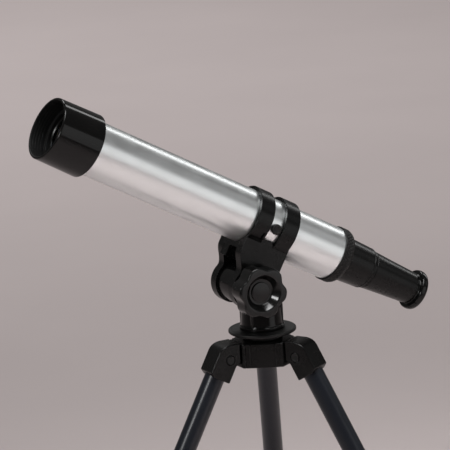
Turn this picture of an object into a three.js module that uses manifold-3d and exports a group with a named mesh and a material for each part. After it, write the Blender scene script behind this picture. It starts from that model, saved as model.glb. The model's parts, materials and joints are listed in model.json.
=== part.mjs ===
// Small refracting telescope on an alt-azimuth head and a three-legged table tripod.
// Millimetres, +Z up. The objective points towards -X, the tilt axis lies along Y, and the tilt knob is on -Y.
// The origin is on the floor, under the centre of the object's bounding box.
import * as THREE from 'three';
import { mergeVertices } from 'three/addons/utils/BufferGeometryUtils.js';
import Module from 'manifold-3d';

const wasm = await Module();
wasm.setup();

// Driving dimensions, mm and degrees

const gap = 0.3; // between pieces that touch
const wideSides = 40; // facets of the tube, its hood and its rings
const roundSides = 32; // facets of a medium round piece
const smallSides = 18; // facets of a small round piece

const tube = { radius: 19, wall: 1.2, front: 162.5, rear: -61.8 }; // stations run along the optical axis
const hood = {
  front: 184, rear: 151, frontRadius: 22, rearRadius: 22.6, wall: 1.7, edge: 1.2, softening: 0.36, mouthEdge: 0.5,
  recess: 11.5, seatWall: 2.4, lip: 2, lipRadius: 15.4,
};
const lens = { edge: 3, crown: 1.6, ring: 1.6 };
const baffle = { station: 88, thickness: 1.6, aperture: 12.5 };
const collar = { radius: 20, length: 9, chamfer: 3, chamferBreak: [1.2, 0.9], sleeve: 12, sleeveWall: 1.4, overlap: 5.8 };
const draw = { radius: 15.8, wall: 1.4, inside: 38, shown: 22.2, endRadius: 14.9, floor: 6, edge: 0.6 };
const eyepiece = {
  length: 40, radius: 13.9, waistRadius: 12.9, waist: 16, endRadius: 11.6, bore: 9.4, spigot: 7, spigotRadius: 12.6,
  edge: 0.4,
};
const flange = {
  radius: 14.6, thickness: 5.4, neck: 2.2, neckRadius: 11, undercut: 0.6, edge: 0.8, shoulder: 1.8, roll: 0.5,
  bowl: 3, bowlRadius: 10.4, bowlStep: 2.8,
};
const eyeLens = { edge: 1.6, crown: 0.9, setBack: 1.2 };
const fieldLens = { edge: 1.8, crown: 1.1, station: 4 };
const fieldStop = { thickness: 1, aperture: 5.5, station: 22 };

const saddle = {
  wall: 2.4, ringWidth: 11.8, ringGap: 10, ringCentre: 3, cheekWidth: 34, slotWidth: 19, lobeRadius: 15,
  lobeStart: 22, front: 20, shoulder: 21, waistPull: 5, web: 3.2, rib: 8, ribRear: 1, ledge: 0.5,
  seatShare: 0.9, recessDepth: 1.3, recessHeight: 6, recessInset: 1.6, recessTurn: 24,
};
const button = { radius: 3.8, height: 2.2, station: 2.4, angle: 92, seatEdge: 0.4, edge: 0.7 };
const pivot = { forward: 14.5, height: 33.6, toTube: 44.6, boltRadius: 2.9 };
const boltHead = { radius: 6.4, height: 3.6, edge: 1.6, reachIntoKnob: 2, washerRadius: 8.6, washer: 1.2 };
const knob = {
  lobes: 6, radius: 18.4, valley: 2.6, valleyShape: 1.6, thickness: 13, bevel: 1.6, hub: 4, hubRadius: 9.2,
  dishRadius: 12.6, floorRadius: 9, dish: 5.2, dishEdge: 0.4, capRadius: 7, cap: 1, capEdge: 0.6,
};
const altitude = 29.7; // of the optical tube above the horizontal

const disc = { radius: 23.8, thickness: 2.6, edge: 0.7 };
const yoke = {
  radius: 14.8, footRadius: 15.8, foot: 2.6, footStep: 0.8, column: 16.5, columnEdge: 1.5, taper: 0.7,
  tongueInset: 2.2, knuckleRadius: 13.4, knuckleEnd: 250, neck: 4,
};
const washer = { radius: 15.5, thickness: 3.8 };
const crown = {
  height: 17.5, legFace: 21.4, legFaceWidth: 17, bulge: 1, edge: 0.8, lugWidth: 8.4, lugRadius: 5.5, lugRoot: 4,
  pocketGap: 1,
};
const panScrew = { radius: 3, headRadius: 7, head: 4.5, headEdge: 0.8, sunk: 1, thread: 14 };

const legs = [181.2, 301.2, 61.2]; // azimuth of each leg
const splay = 29; // of a leg from the vertical
const legTube = { radius: 7.2, wall: 1.1, length: 232 };
const cap = {
  width: 17, wall: 2.4, outer: 10.3, inner: 6.4, below: 15.4, chamfer: 3.6, chamferRise: 2.2, top: 10.8,
  bearing: 8, bearingDrop: 3, throat: 2.5, cornerRadius: 9, bendStart: -1, bend: [2.6, 0.4],
  socket: 7.4, socketFloor: 0.6, channelOut: 4, channelDrop: 9,
};
const pin = { radius: 3, outreach: 30.6, drop: 9.6, proud: 0.4 };
const foot = { radius: 8.8, grip: 14, edge: 0.8, flat: 0.9, bottom: 3 };

// Stations and heights that follow from the driving dimensions

const rad = THREE.MathUtils.degToRad;
const capSplay = rad(splay);
const bore = tube.radius + gap;
const legCentre = (cap.outer - cap.inner) / 2; // leg axis, outward of the pin
const tubeTop = cap.socket + gap; // along the leg, below the pin
const footCentre = tubeTop + legTube.length - foot.bottom;
const legPoint = (across, along) => [
  across * Math.cos(capSplay) + along * Math.sin(capSplay),
  across * Math.sin(capSplay) - along * Math.cos(capSplay),
];
const pinHeight = foot.radius - foot.flat - legPoint(legCentre, footCentre)[1];
const crownTop = pinHeight + pin.drop + gap;
const crownBottom = crownTop - crown.height;
const discBottom = crownTop + washer.thickness + 2 * gap;
const discTop = discBottom + disc.thickness;
const collarFront = tube.rear + collar.overlap;
const collarRear = collarFront - collar.length;
const drawRear = collarRear - draw.shown;
const eyeRear = drawRear - gap - eyepiece.length;
const flangeRear = eyeRear - gap - flange.neck - flange.thickness;
const cheekFace = saddle.cheekWidth / 2;
const knobBack = cheekFace + gap + knob.hub;
const knobFront = knobBack + knob.thickness;

// Materials

const material = (color, roughness, metalness) => new THREE.MeshStandardMaterial({ color, roughness, metalness });
const silver = material('#c3c5c7', 0.32, 1);
const glossBlack = material('#0b0c0e', 0.16, 0);
const satinBlack = material('#17181a', 0.38, 0);
const mattBlack = material('#151515', 0.62, 0);
const legBlue = material('#1d2229', 0.26, 0.3);
const glass = material('#b9c8d6', 0.04, 0);
const steel = material('#8d9093', 0.35, 1);
const rubber = material('#121212', 0.85, 0);

// Helpers

const solid = (geometry) => {
  const plain = geometry.clone();
  plain.deleteAttribute('normal');
  plain.deleteAttribute('uv');
  const merged = mergeVertices(plain, 1e-4);
  return new wasm.Manifold(new wasm.Mesh({
    numProp: 3,
    vertProperties: new Float32Array(merged.attributes.position.array),
    triVerts: new Uint32Array(merged.index.array),
  }));
};

const geometryOf = (manifold) => {
  const mesh = manifold.getMesh();
  const geometry = new THREE.BufferGeometry();
  geometry.setAttribute('position', new THREE.BufferAttribute(mesh.vertProperties, 3));
  geometry.setIndex(new THREE.BufferAttribute(mesh.triVerts, 1));
  geometry.computeVertexNormals();
  return geometry;
};

const join = (...geometries) => geometryOf(geometries.map(solid).reduce((whole, piece) => whole.add(piece)));
const cut = (geometry, ...tools) => geometryOf(tools.map(solid)
  .reduce((rest, tool) => rest.subtract(tool), solid(geometry)));

// A solid turned about Z from its outline, [radius, height] points in order round the section
const turned = (outline, sides = roundSides) => {
  const points = outline.map(([radius, height]) => new THREE.Vector2(radius, height));
  const first = points[0];
  const last = points[points.length - 1];
  if (first.x > 0 || last.x > 0) points.push(first.clone());
  if (THREE.ShapeUtils.area(points) < 0) points.reverse();
  return new THREE.LatheGeometry(points, sides).rotateX(Math.PI / 2);
};

const tubeAlongZ = (outer, inner, low, high, sides = roundSides) => turned(
  [[outer, low], [outer, high], [inner, high], [inner, low]], sides);

const rodAlongZ = (radius, low, high, sides = smallSides) => turned(
  [[0, low], [radius, low], [radius, high], [0, high]], sides);

const rodAlongY = (radius, low, high, sides = smallSides) => rodAlongZ(radius, low, high, sides).rotateX(-Math.PI / 2);

const plateShape = (corners) => new THREE.Shape(corners.map(([x, y]) => new THREE.Vector2(x, y)));

// A plate of the given outline, centred on its own plane and stood up with its thickness along Y
const plateAcrossY = (shape, width, curveSegments = 12) => new THREE.ExtrudeGeometry(shape,
  { depth: width, bevelEnabled: false, curveSegments })
  .translate(0, 0, -width / 2)
  .rotateX(Math.PI / 2);

// A biconvex lens with its rear edge at a station
const lensBlank = (radius, edge, crownHeight, station, sides) => {
  const rings = 3;
  const rear = [];
  const front = [];
  for (let i = 0; i <= rings; i += 1) {
    const share = i / rings;
    rear.push([radius * share, station - crownHeight * (1 - share * share)]);
    front.push([radius * (1 - share), station + edge + crownHeight * (1 - (1 - share) ** 2)]);
  }
  return turned([...rear, ...front], sides);
};

const named = (name, geometry, look) => {
  const mesh = new THREE.Mesh(geometry, look);
  mesh.name = name;
  return mesh;
};

// Optical tube: +Z is towards the objective, +X is up from the tube, and the tilt axis is at the origin

const onAxis = (geometry) => geometry.translate(pivot.toTube, 0, 0);

const hoodSeat = hood.frontRadius - hood.wall - hood.seatWall; // bore that holds the lens
const hoodShoulder = hood.front - hood.recess;
const lensRadius = hoodSeat - gap;
const lensSag = lens.crown * (1 - (hood.lipRadius / lensRadius) ** 2); // bulge past the edge, where the lip bears
const lensRear = tube.front + gap + hood.lip + gap + lensSag;
const lensRingRear = lensRear + lens.edge + lensSag + gap;

const objectiveHood = () => turned([
  [hood.rearRadius - hood.edge, hood.rear],
  [hood.rearRadius, hood.rear + hood.edge],
  [hood.frontRadius, hood.front - hood.edge],
  [hood.frontRadius - hood.softening, hood.front - hood.softening],
  [hood.frontRadius - hood.edge, hood.front],
  [hood.frontRadius - hood.wall, hood.front - hood.mouthEdge],
  [hood.frontRadius - hood.wall, hoodShoulder],
  [hoodSeat, hoodShoulder],
  [hoodSeat, tube.front + gap + hood.lip],
  [hood.lipRadius, tube.front + gap + hood.lip],
  [hood.lipRadius, tube.front + gap],
  [bore, tube.front + gap],
  [bore, hood.rear],
], wideSides);

const tubeEndCollar = () => {
  const inner = draw.radius + gap;
  const plug = inner + collar.sleeveWall;
  return turned([
    [bore, collarFront],
    [collar.radius, collarFront],
    [collar.radius, collarRear + collar.chamfer],
    [collar.radius - collar.chamferBreak[0], collarRear + collar.chamferBreak[1]],
    [collar.radius - collar.chamfer, collarRear],
    [inner, collarRear],
    [inner, tube.rear + collar.sleeve],
    [plug, tube.rear + collar.sleeve],
    [plug, tube.rear - gap],
    [bore, tube.rear - gap],
  ]);
};

const focusBarrel = () => turned([
  [draw.radius, collarRear + draw.inside],
  [draw.radius, collarRear],
  [draw.endRadius, drawRear + draw.edge],
  [draw.endRadius - draw.edge, drawRear],
  [eyepiece.spigotRadius + gap, drawRear],
  [eyepiece.spigotRadius + gap, drawRear + eyepiece.spigot + gap],
  [draw.radius - draw.wall, drawRear + eyepiece.spigot + draw.floor],
  [draw.radius - draw.wall, collarRear + draw.inside],
]);

const eyepieceBarrel = () => {
  const front = drawRear - gap;
  return turned([
    [eyepiece.spigotRadius, drawRear + eyepiece.spigot],
    [eyepiece.spigotRadius, front],
    [eyepiece.radius - eyepiece.edge, front],
    [eyepiece.radius, front - eyepiece.edge],
    [eyepiece.waistRadius, front - eyepiece.waist],
    [eyepiece.endRadius, eyeRear],
    [eyepiece.bore, eyeRear],
    [eyepiece.bore, drawRear + eyepiece.spigot],
  ]);
};

const eyeFlange = () => {
  const front = eyeRear - gap;
  const rimFront = front - flange.neck;
  return turned([
    [flange.neckRadius, front],
    [flange.neckRadius, rimFront + flange.undercut],
    [flange.radius - flange.shoulder, rimFront],
    [flange.radius - flange.roll, rimFront - flange.edge],
    [flange.radius, rimFront - flange.thickness / 2],
    [flange.radius - flange.roll, flangeRear + flange.edge],
    [flange.radius - flange.shoulder, flangeRear],
    [flange.bowlRadius, flangeRear],
    [flange.bowlRadius - flange.bowlStep, flangeRear + flange.bowl],
    [flange.bowlRadius - flange.bowlStep, front],
  ]);
};

const ringAt = (side) => {
  const near = saddle.ringCentre + side * saddle.ringGap / 2;
  const far = near + side * saddle.ringWidth;
  return tubeAlongZ(bore + saddle.wall, bore, Math.min(near, far), Math.max(near, far), wideSides);
};

// Side outline of the saddle: x runs forward along the tube, y up towards it
const saddleOutline = () => {
  const seatHalf = Math.min(cheekFace - saddle.ledge, bore * saddle.seatShare);
  const top = pivot.toTube - Math.sqrt(bore ** 2 - seatHalf ** 2);
  const start = rad(saddle.lobeStart);
  const lobe = [saddle.lobeRadius * Math.cos(start), saddle.lobeRadius * Math.sin(start)];
  const waist = [lobe[0] - saddle.waistPull * Math.sin(start), lobe[1] + saddle.waistPull * Math.cos(start)];
  const shape = new THREE.Shape();
  shape.moveTo(-saddle.lobeRadius, 0);
  shape.lineTo(-saddle.lobeRadius, top);
  shape.lineTo(saddle.front, top);
  shape.lineTo(saddle.front, saddle.shoulder);
  shape.bezierCurveTo(saddle.front, saddle.shoulder - saddle.waistPull, ...waist, ...lobe);
  shape.absarc(0, 0, saddle.lobeRadius, start, Math.PI, true);
  return shape;
};

// Turns a shape drawn with x forward and y up into a plate that stands along the tube
const standAlongTube = (geometry) => geometry.applyMatrix4(new THREE.Matrix4().makeBasis(
  new THREE.Vector3(0, 0, 1), new THREE.Vector3(1, 0, 0), new THREE.Vector3(0, 1, 0)));

const saddleBody = () => {
  const block = standAlongTube(new THREE.ExtrudeGeometry(saddleOutline(),
    { depth: saddle.cheekWidth, bevelEnabled: false, curveSegments: 10 }).translate(0, 0, -saddle.cheekWidth / 2));
  const slotTop = pivot.toTube - bore - saddle.web;
  const reach = 2 * saddle.front;
  const slot = new THREE.BoxGeometry(slotTop + reach, saddle.slotWidth, 2 * reach)
    .translate((slotTop - reach) / 2, 0, 0);
  const ribBottom = yoke.knuckleRadius + 2 * gap;
  const ribTop = slotTop + gap;
  const ribFace = saddle.slotWidth / 2 - saddle.rib;
  const rib = new THREE.BoxGeometry(ribTop - ribBottom, saddle.rib + gap, saddle.front - saddle.ribRear)
    .translate((ribTop + ribBottom) / 2, ribFace + (saddle.rib + gap) / 2, (saddle.front + saddle.ribRear) / 2);
  const tunnel = onAxis(rodAlongZ(bore, -reach, reach, wideSides));
  const boltHole = rodAlongY(pivot.boltRadius + gap, -saddle.cheekWidth, saddle.cheekWidth);
  const ringMiddle = saddle.ringCentre + (saddle.ringGap + saddle.ringWidth) / 2;
  const recessWidth = saddle.ringWidth - 2 * saddle.recessInset;
  const recessOut = bore + saddle.wall - saddle.recessDepth;
  const recesses = [-1, 1].map((side) => new THREE.BoxGeometry(saddle.recessHeight, 2 * saddle.wall, recessWidth)
    .translate(0, side * (recessOut + saddle.wall), 0)
    .applyMatrix4(new THREE.Matrix4().makeRotationZ(side * rad(saddle.recessTurn)))
    .translate(pivot.toTube, 0, ringMiddle));
  const whole = join(block, onAxis(ringAt(-1)), onAxis(ringAt(1)));
  return cut(join(cut(whole, slot), rib), tunnel, boltHole, ...recesses);
};

const stopButton = () => {
  const low = tube.radius + gap;
  return turned([
    [0, low],
    [button.radius - button.seatEdge, low],
    [button.radius, low + button.seatEdge],
    [button.radius, low + button.height - button.edge],
    [button.radius - button.edge, low + button.height],
    [0, low + button.height],
  ], smallSides)
    .rotateY(Math.PI / 2)
    .rotateZ(-rad(button.angle))
    .translate(pivot.toTube, 0, button.station);
};

const pivotBolt = () => {
  const seat = cheekFace + gap + boltHead.washer + gap;
  const end = -(knobBack + boltHead.reachIntoKnob);
  return turned([
    [0, end],
    [pivot.boltRadius, end],
    [pivot.boltRadius, seat],
    [boltHead.radius, seat],
    [boltHead.radius, seat + boltHead.height - boltHead.edge],
    [boltHead.radius - boltHead.edge, seat + boltHead.height],
    [0, seat + boltHead.height],
  ], smallSides).rotateX(-Math.PI / 2);
};

const boltWasher = () => tubeAlongZ(boltHead.washerRadius, pivot.boltRadius + gap,
  cheekFace + gap, cheekFace + gap + boltHead.washer, smallSides).rotateX(-Math.PI / 2);

const buildOpticalTube = () => {
  const group = new THREE.Group();
  const barrelFront = drawRear + eyepiece.spigot;
  group.add(
    named('main_tube', onAxis(tubeAlongZ(tube.radius, tube.radius - tube.wall, tube.rear, tube.front, wideSides)), silver),
    named('objective_hood', onAxis(objectiveHood()), glossBlack),
    named('objective_lens', onAxis(lensBlank(lensRadius, lens.edge, lens.crown, lensRear, roundSides)), glass),
    named('lens_retaining_ring', onAxis(tubeAlongZ(lensRadius, hood.lipRadius,
      lensRingRear, lensRingRear + lens.ring)), satinBlack),
    named('light_baffle', onAxis(tubeAlongZ(tube.radius - tube.wall - gap, baffle.aperture,
      baffle.station, baffle.station + baffle.thickness)), mattBlack),
    named('tube_end_collar', onAxis(tubeEndCollar()), mattBlack),
    named('saddle', saddleBody(), satinBlack),
    named('tube_stop_button', stopButton(), mattBlack),
    named('pivot_bolt', pivotBolt(), steel),
    named('bolt_washer', boltWasher(), steel),
    named('focus_barrel', onAxis(focusBarrel()), satinBlack),
    named('eyepiece_barrel', onAxis(eyepieceBarrel()), satinBlack),
    named('eye_flange', onAxis(eyeFlange()), glossBlack),
    named('field_lens', onAxis(lensBlank(eyepiece.bore - gap, fieldLens.edge, fieldLens.crown,
      barrelFront - fieldLens.station, smallSides)), glass),
    named('field_stop', onAxis(tubeAlongZ(eyepiece.bore - gap, fieldStop.aperture,
      eyeRear + fieldStop.station, eyeRear + fieldStop.station + fieldStop.thickness, smallSides)), mattBlack),
    named('eye_lens', onAxis(lensBlank(eyepiece.bore - gap, eyeLens.edge, eyeLens.crown,
      eyeRear + eyeLens.setBack, smallSides)), glass),
  );
  return group;
};

// Tilt knob: drawn about Z with its face up, then turned to face -Y

const knobOutline = () => {
  const steps = 60;
  const corners = [];
  for (let i = 0; i < steps; i += 1) {
    const angle = (i / steps) * 2 * Math.PI;
    const wave = (1 - Math.cos(knob.lobes * angle)) / 2;
    const radius = knob.radius - knob.bevel - knob.valley * wave ** knob.valleyShape;
    corners.push([radius * Math.cos(angle), radius * Math.sin(angle)]);
  }
  return plateShape(corners);
};

const tiltKnob = () => {
  const lobed = new THREE.ExtrudeGeometry(knobOutline(), {
    depth: knob.thickness - 2 * knob.bevel,
    bevelEnabled: true,
    bevelThickness: knob.bevel,
    bevelSize: knob.bevel,
    bevelSegments: 1,
  }).translate(0, 0, knobBack + knob.bevel);
  const hub = rodAlongZ(knob.hubRadius, cheekFace + gap, knobBack + knob.bevel, roundSides);
  const dish = turned([
    [0, knobFront + 1],
    [knob.dishRadius, knobFront + 1],
    [knob.dishRadius, knobFront - knob.dishEdge],
    [(knob.dishRadius + knob.floorRadius) / 2, knobFront - knob.dish / 2],
    [knob.floorRadius, knobFront - knob.dish],
    [0, knobFront - knob.dish],
  ]);
  const socket = rodAlongZ(pivot.boltRadius + gap, cheekFace, knobBack + boltHead.reachIntoKnob + gap);
  return cut(join(lobed, hub), dish, socket);
};

const knobCap = () => {
  const seat = knobFront - knob.dish + gap;
  return turned([
    [0, seat],
    [knob.capRadius, seat],
    [knob.capRadius, seat + knob.cap - knob.capEdge],
    [knob.capRadius - knob.capEdge, seat + knob.cap],
    [0, seat + knob.cap],
  ]);
};

const buildKnob = () => {
  const group = new THREE.Group();
  group.add(named('tilt_knob', tiltKnob(), satinBlack), named('knob_cap', knobCap(), satinBlack));
  group.rotation.x = Math.PI / 2;
  return group;
};

// Pan head: heights run from the top of the disc, which turns about Z

const yokeBody = () => {
  const column = turned([
    [0, gap],
    [yoke.footRadius, gap],
    [yoke.footRadius, yoke.foot],
    [yoke.radius, yoke.foot + yoke.footStep],
    [yoke.radius - yoke.taper, yoke.column - yoke.columnEdge],
    [yoke.radius - yoke.taper - yoke.columnEdge, yoke.column],
    [0, yoke.column],
  ]);
  const tongueWidth = saddle.slotWidth - 2 * gap;
  const shape = new THREE.Shape();
  const rear = yoke.radius - yoke.taper - yoke.tongueInset;
  shape.moveTo(-rear, yoke.foot);
  shape.lineTo(rear, yoke.foot);
  shape.lineTo(rear, yoke.column);
  shape.quadraticCurveTo(rear, pivot.height - yoke.neck, yoke.knuckleRadius - pivot.forward, pivot.height);
  shape.absarc(-pivot.forward, pivot.height, yoke.knuckleRadius, 0, rad(yoke.knuckleEnd), false);
  shape.quadraticCurveTo(-rear, yoke.column, -rear, yoke.column - yoke.neck);
  const tongue = plateAcrossY(shape, tongueWidth, 16);
  const boltHole = rodAlongY(pivot.boltRadius + gap, -saddle.cheekWidth, saddle.cheekWidth)
    .translate(-pivot.forward, 0, pivot.height);
  const screwHole = rodAlongZ(panScrew.radius + gap, -1, panScrew.thread - disc.thickness - washer.thickness);
  return cut(join(column, tongue), boltHole, screwHole);
};

const swivelDisc = () => turned([
  [panScrew.radius + gap, -disc.thickness],
  [disc.radius - disc.edge, -disc.thickness],
  [disc.radius, -disc.thickness + disc.edge],
  [disc.radius, -disc.edge],
  [disc.radius - disc.edge, 0],
  [panScrew.radius + gap, 0],
], wideSides);

const buildHead = () => {
  const group = new THREE.Group();
  const tilting = new THREE.Group();
  const opticalTube = buildOpticalTube();
  opticalTube.rotation.y = rad(altitude - 90);
  tilting.add(opticalTube, buildKnob());
  tilting.position.set(-pivot.forward, 0, pivot.height);
  group.add(named('swivel_disc', swivelDisc(), satinBlack), named('yoke', yokeBody(), glossBlack), tilting);
  group.position.z = discTop;
  return group;
};

// Tripod crown and legs

const crownOutline = () => {
  const shape = new THREE.Shape();
  const half = crown.legFaceWidth / 2;
  const corner = (azimuth, side) => {
    const turn = rad(azimuth);
    return [
      crown.legFace * Math.cos(turn) - side * half * Math.sin(turn),
      crown.legFace * Math.sin(turn) + side * half * Math.cos(turn),
    ];
  };
  const spread = 360 / legs.length;
  const wallDistance = crown.legFace * Math.cos(rad(spread / 2)) + half * Math.sin(rad(spread / 2));
  shape.moveTo(...corner(legs[0], -1));
  legs.forEach((azimuth) => {
    const middle = rad(azimuth + spread / 2);
    const control = wallDistance + 2 * crown.bulge;
    shape.lineTo(...corner(azimuth, 1));
    shape.quadraticCurveTo(control * Math.cos(middle), control * Math.sin(middle), ...corner(azimuth + spread, -1));
  });
  return shape;
};

const tripodCrown = () => {
  const hub = new THREE.ExtrudeGeometry(crownOutline(), {
    depth: crown.height - 2 * crown.edge,
    bevelEnabled: true,
    bevelThickness: crown.edge,
    bevelSize: crown.edge,
    bevelOffset: -crown.edge,
    bevelSegments: 1,
    curveSegments: 4,
  }).translate(0, 0, crownBottom + crown.edge);
  const lugs = legs.map((azimuth) => {
    const shape = new THREE.Shape();
    shape.moveTo(crown.legFace - crown.lugRoot, pinHeight + crown.lugRadius);
    shape.absarc(pin.outreach, pinHeight, crown.lugRadius, Math.PI / 2, -Math.PI / 2, true);
    shape.lineTo(crown.legFace - crown.lugRoot, pinHeight - crown.lugRadius);
    return plateAcrossY(shape, crown.lugWidth)
      .rotateZ(rad(azimuth));
  });
  const pinHoles = legs.map((azimuth) => rodAlongY(pin.radius + gap, -cap.width, cap.width)
    .translate(pin.outreach, 0, pinHeight)
    .rotateZ(rad(azimuth)));
  const screwHole = rodAlongZ(panScrew.radius + gap, crownBottom - 1, crownTop + 1);
  const headPocket = rodAlongZ(panScrew.headRadius + crown.pocketGap, crownBottom - 1, crownBottom + panScrew.head);
  return cut(join(hub, ...lugs), ...pinHoles, screwHole, headPocket);
};

const screwBody = () => {
  const seat = crownBottom + panScrew.head - gap;
  const low = crownBottom + panScrew.sunk;
  const high = crownTop + panScrew.thread;
  return turned([
    [0, low],
    [panScrew.headRadius - panScrew.headEdge, low],
    [panScrew.headRadius, low + panScrew.headEdge],
    [panScrew.headRadius, seat],
    [panScrew.radius, seat],
    [panScrew.radius, high],
    [0, high],
  ], smallSides);
};

const frictionWasher = () => tubeAlongZ(washer.radius, panScrew.radius + gap,
  crownTop + gap, crownTop + gap + washer.thickness);

// Side outline of a leg cap round its pin: x points out from the tripod's axis, y up
const capOutline = () => {
  const shape = new THREE.Shape();
  const { outer, top } = cap;
  const bendStart = legPoint(outer, cap.bendStart);
  shape.moveTo(-cap.bearing, top);
  shape.lineTo(-cap.bearing, -cap.bearingDrop);
  shape.lineTo(...legPoint(-cap.inner, cap.throat));
  shape.lineTo(...legPoint(-cap.inner, cap.below));
  shape.lineTo(...legPoint(outer - cap.chamfer, cap.below));
  shape.lineTo(...legPoint(outer, cap.below - cap.chamferRise));
  shape.lineTo(...bendStart);
  shape.quadraticCurveTo(bendStart[0] - cap.bend[0], top - cap.bend[1], bendStart[0] - cap.cornerRadius, top);
  return shape;
};

// The open channel of a leg cap, in which the crown's lug turns
const capChannel = () => {
  const outer = cap.outer - cap.wall;
  const top = cap.top - cap.wall;
  const bendStart = legPoint(outer, cap.bendStart);
  const floor = cap.socket - cap.socketFloor;
  const shape = new THREE.Shape();
  shape.moveTo(-cap.bearing - cap.channelOut, top);
  shape.lineTo(-cap.bearing - cap.channelOut, -cap.channelDrop);
  shape.lineTo(...legPoint(-cap.inner - cap.channelOut, floor));
  shape.lineTo(...legPoint(outer, floor));
  shape.lineTo(...bendStart);
  shape.quadraticCurveTo(bendStart[0] - cap.bend[0], top - cap.bend[1], bendStart[0] - cap.cornerRadius, top);
  return plateAcrossY(shape, crown.lugWidth + 2 * gap, 6);
};

// Leg pieces are drawn down the Z axis from the pin and then splayed outward along +X
const splayed = (geometry) => geometry
  .translate(legCentre, 0, 0)
  .rotateY(-capSplay);

const legCap = () => {
  const block = plateAcrossY(capOutline(), cap.width, 6);
  const socket = splayed(rodAlongZ(legTube.radius + gap, -cap.below - 4, -cap.socket, roundSides));
  const pinHole = rodAlongY(pin.radius + gap, -cap.width, cap.width);
  return cut(block, capChannel(), socket, pinHole);
};

const legPin = () => rodAlongY(pin.radius, -cap.width / 2 - pin.proud, cap.width / 2 + pin.proud);

const legTubeBody = () => splayed(tubeAlongZ(legTube.radius, legTube.radius - legTube.wall,
  -tubeTop - legTube.length, -tubeTop, smallSides + 4));

const footBody = () => {
  const grip = legTube.radius + gap;
  const tubeEnd = -tubeTop - legTube.length;
  const outline = [
    [grip, -footCentre + foot.grip],
    [foot.radius - foot.edge, -footCentre + foot.grip],
    [foot.radius, -footCentre + foot.grip - foot.edge],
    [foot.radius, -footCentre],
  ];
  const steps = 4;
  for (let i = 1; i <= steps; i += 1) {
    const angle = (i / steps) * (Math.PI / 2);
    outline.push([foot.radius * Math.cos(angle), -footCentre - foot.radius * Math.sin(angle)]);
  }
  outline[outline.length - 1][0] = 0;
  outline.push([0, tubeEnd - gap], [grip, tubeEnd - gap], [grip, -footCentre + foot.grip]);
  const below = 4 * foot.radius; // size of the block that trims the foot flat at the floor
  const floor = new THREE.BoxGeometry(below, below, below)
    .translate(footCentre * Math.sin(capSplay), 0, -pinHeight - below / 2);
  return cut(splayed(turned(outline, smallSides)), floor);
};

const buildLeg = (azimuth, number) => {
  const group = new THREE.Group();
  const leg = new THREE.Group();
  leg.add(
    named(`leg_cap_${number}`, legCap(), satinBlack),
    named(`leg_pin_${number}`, legPin(), mattBlack),
    named(`leg_tube_${number}`, legTubeBody(), legBlue),
    named(`leg_foot_${number}`, footBody(), rubber),
  );
  leg.position.set(pin.outreach, 0, pinHeight);
  group.add(leg);
  group.rotation.z = rad(azimuth);
  return group;
};

const buildTripod = () => {
  const group = new THREE.Group();
  group.add(
    named('crown', tripodCrown(), satinBlack),
    named('pan_screw', screwBody(), steel),
    named('friction_washer', frictionWasher(), mattBlack),
    ...legs.map((azimuth, index) => buildLeg(azimuth, index + 1)),
  );
  return group;
};

const telescope = new THREE.Group();
telescope.add(buildTripod(), buildHead());
telescope.updateMatrixWorld(true);
const bounds = new THREE.Box3().setFromObject(telescope, true);
telescope.position.set(-(bounds.min.x + bounds.max.x) / 2, -(bounds.min.y + bounds.max.y) / 2, 0);

export default telescope;
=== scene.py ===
import json
import math
import bmesh
import bpy
from mathutils import Matrix, Vector


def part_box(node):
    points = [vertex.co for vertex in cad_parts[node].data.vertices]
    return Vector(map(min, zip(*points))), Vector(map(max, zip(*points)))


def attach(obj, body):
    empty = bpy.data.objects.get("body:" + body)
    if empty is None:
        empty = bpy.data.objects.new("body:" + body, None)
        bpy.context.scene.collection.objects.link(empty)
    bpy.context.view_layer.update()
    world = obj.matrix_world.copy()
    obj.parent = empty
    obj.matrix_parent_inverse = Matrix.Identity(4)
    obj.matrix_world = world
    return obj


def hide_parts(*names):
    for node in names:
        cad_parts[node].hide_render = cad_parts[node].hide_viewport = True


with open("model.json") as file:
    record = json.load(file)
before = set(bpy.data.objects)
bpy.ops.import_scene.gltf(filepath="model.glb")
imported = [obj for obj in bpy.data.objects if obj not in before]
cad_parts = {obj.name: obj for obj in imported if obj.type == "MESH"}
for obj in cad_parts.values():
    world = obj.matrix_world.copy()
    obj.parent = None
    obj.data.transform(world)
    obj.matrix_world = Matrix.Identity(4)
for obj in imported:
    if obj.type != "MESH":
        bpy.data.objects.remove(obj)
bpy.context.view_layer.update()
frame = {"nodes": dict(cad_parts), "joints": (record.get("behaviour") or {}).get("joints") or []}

mm = 0.001
clear = 0.3              # gap between pieces that touch, mm
joints = {joint["name"]: joint for joint in frame["joints"]}


# Measuring the frame

def reach(node, direction, origin):
    along = [(vertex.co - origin).dot(direction) / mm for vertex in frame["nodes"][node].data.vertices]
    return min(along), max(along)    # nearest and furthest point of the node along a direction, mm


def placement(origin, across, along):
    x = across.normalized()
    z = along.normalized()
    y = z.cross(x)
    turn = Matrix((x, y, z)).transposed().to_4x4()
    return Matrix.Translation(origin) @ turn


tiltPivot = Vector(joints["tilt"]["pos_m"])
sideways = Vector(joints["tilt"]["axis"])
forward = -Vector(joints["focus_slide"]["axis"]).normalized()
raised = sideways.cross(forward)                      # square to the tube, away from the saddle
tubeLow, tubeHigh = reach("main_tube", raised, tiltPivot)
toTube = (tubeLow + tubeHigh) / 2                     # tilt axis to tube axis, mm
tubeRadius = (tubeHigh - tubeLow) / 2
tubeOrigin = tiltPivot + raised * toTube * mm
tubePlace = placement(tubeOrigin, raised, forward)    # z runs forward along the tube, x points up from it
saddlePlace = placement(tiltPivot, raised, forward)
discLow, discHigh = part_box("swivel_disc")
panTop = Vector(((discLow.x + discHigh.x) / 2, (discLow.y + discHigh.y) / 2, discHigh.z))
panPlace = Matrix.Translation(panTop)                 # the top of the swivel disc, on the pan axis


def stations(node):
    return reach(node, forward, tubeOrigin)


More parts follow.
